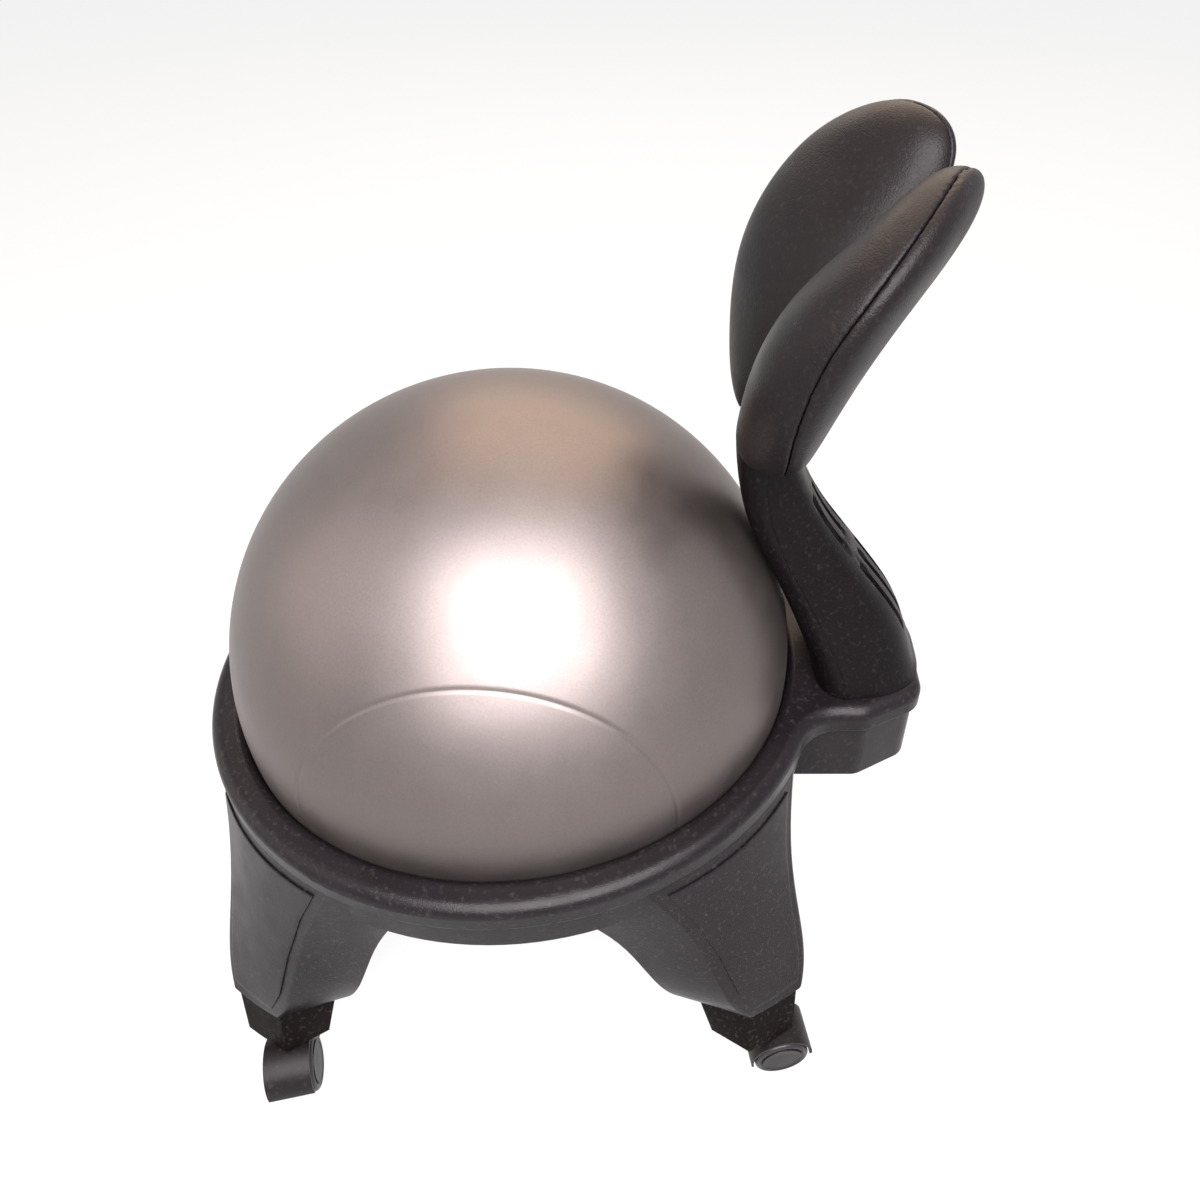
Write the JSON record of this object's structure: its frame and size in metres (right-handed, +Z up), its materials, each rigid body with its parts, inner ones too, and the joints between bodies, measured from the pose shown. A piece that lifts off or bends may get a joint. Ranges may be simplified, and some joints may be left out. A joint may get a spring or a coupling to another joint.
{
  "type": "balance ball chair",
  "caption": "Balance ball chair: inflated exercise ball seated in a four-legged moulded base on swivel casters, with a back post and two-lobed backrest.",
  "frame": {"origin": "on the floor below the middle of the chair's bounding box", "axes": "+Z up, the sitter faces -Y, +X to the sitter's left"},
  "size_m": [0.6168, 0.6775, 0.816],
  "materials": {
    "black_plastic": "fine grained satin",
    "dark_plastic": "matte",
    "black_pad": "leather-grained skin",
    "knob_plastic": "satin",
    "caster_plastic": "satin",
    "wheel_plastic": "semi-gloss",
    "socket_plastic": "matte",
    "ball_skin": "satin metallic",
    "plug_plastic": "satin",
    "zinc_steel": "zinc plated",
    "black_steel": "powder coat"
  },
  "bodies": {
    "base": {"base_shell": "black_plastic", "back_post": "black_plastic", "post_bolts": "zinc_steel", "post_washers": "zinc_steel", "neck_bar": "black_steel", "leg_extension_fr": "dark_plastic", "leg_extension_rr": "dark_plastic", "leg_extension_fl": "dark_plastic", "leg_extension_rl": "dark_plastic", "caster_socket_fr": "socket_plastic", "caster_socket_rr": "socket_plastic", "caster_socket_fl": "socket_plastic", "caster_socket_rl": "socket_plastic"},
    "backrest": {"backrest_cushion": "black_pad", "backrest_shell": "black_plastic", "clamp_stud": "zinc_steel", "clamp_knob": "knob_plastic"},
    "ball": {"exercise_ball": "ball_skin", "ball_plug": "plug_plastic"},
    "swivel_fr": {"caster_stem_fr": "zinc_steel", "caster_housing_fr": "caster_plastic", "caster_axle_fr": "zinc_steel"},
    "wheel_fr_a": {"caster_wheel_fr_a": "wheel_plastic"},
    "wheel_fr_b": {"caster_wheel_fr_b": "wheel_plastic"},
    "swivel_rr": {"caster_stem_rr": "zinc_steel", "caster_housing_rr": "caster_plastic", "caster_axle_rr": "zinc_steel"},
    "wheel_rr_a": {"caster_wheel_rr_a": "wheel_plastic"},
    "wheel_rr_b": {"caster_wheel_rr_b": "wheel_plastic"},
    "swivel_fl": {"caster_stem_fl": "zinc_steel", "caster_housing_fl": "caster_plastic", "caster_axle_fl": "zinc_steel"},
    "wheel_fl_a": {"caster_wheel_fl_a": "wheel_plastic"},
    "wheel_fl_b": {"caster_wheel_fl_b": "wheel_plastic"},
    "swivel_rl": {"caster_stem_rl": "zinc_steel", "caster_housing_rl": "caster_plastic", "caster_axle_rl": "zinc_steel"},
    "wheel_rl_a": {"caster_wheel_rl_a": "wheel_plastic"},
    "wheel_rl_b": {"caster_wheel_rl_b": "wheel_plastic"}
  },
  "joints": [
    {"name": "ball_turn", "type": "hinge", "parent": "base", "child": "ball", "pos_m": [0, -0.04825, 0.347], "axis": [0, 0, 1], "continuous": true},
    {"name": "backrest_height", "type": "slide", "parent": "base", "child": "backrest", "axis": [0, 0.3305, 0.9438], "range_m": [0, 0.05]},
    {"name": "swivel_fr", "type": "hinge", "parent": "base", "child": "swivel_fr", "pos_m": [0.24996, -0.27827, 0.07], "axis": [0, 0, 1], "continuous": true},
    {"name": "wheel_fr_a", "type": "hinge", "parent": "swivel_fr", "child": "wheel_fr_a", "pos_m": [0.27344, -0.27328, 0.027], "axis": [-0.2079, 0.9781, 0], "continuous": true},
    {"name": "wheel_fr_b", "type": "hinge", "parent": "swivel_fr", "child": "wheel_fr_b", "pos_m": [0.27344, -0.27328, 0.027], "axis": [-0.2079, 0.9781, 0], "continuous": true},
    {"name": "swivel_rr", "type": "hinge", "parent": "base", "child": "swivel_rr", "pos_m": [0.24996, 0.18177, 0.07], "axis": [0, 0, 1], "continuous": true},
    {"name": "wheel_rr_a", "type": "hinge", "parent": "swivel_rr", "child": "wheel_rr_a", "pos_m": [0.24538, 0.20533, 0.027], "axis": [-0.9816, -0.1908, 0], "continuous": true},
    {"name": "wheel_rr_b", "type": "hinge", "parent": "swivel_rr", "child": "wheel_rr_b", "pos_m": [0.24538, 0.20533, 0.027], "axis": [-0.9816, -0.1908, 0], "continuous": true},
    {"name": "swivel_fl", "type": "hinge", "parent": "base", "child": "swivel_fl", "pos_m": [-0.24996, -0.27827, 0.07], "axis": [0, 0, 1], "continuous": true},
    {"name": "wheel_fl_a", "type": "hinge", "parent": "swivel_fl", "child": "wheel_fl_a", "pos_m": [-0.27344, -0.27328, 0.027], "axis": [-0.2079, -0.9781, 0], "continuous": true},
    {"name": "wheel_fl_b", "type": "hinge", "parent": "swivel_fl", "child": "wheel_fl_b", "pos_m": [-0.27344, -0.27328, 0.027], "axis": [-0.2079, -0.9781, 0], "continuous": true},
    {"name": "swivel_rl", "type": "hinge", "parent": "base", "child": "swivel_rl", "pos_m": [-0.24996, 0.18177, 0.07], "axis": [0, 0, 1], "continuous": true},
    {"name": "wheel_rl_a", "type": "hinge", "parent": "swivel_rl", "child": "wheel_rl_a", "pos_m": [-0.24538, 0.20533, 0.027], "axis": [-0.9816, 0.1908, 0], "continuous": true},
    {"name": "wheel_rl_b", "type": "hinge", "parent": "swivel_rl", "child": "wheel_rl_b", "pos_m": [-0.24538, 0.20533, 0.027], "axis": [-0.9816, 0.1908, 0], "continuous": true}
  ]
}
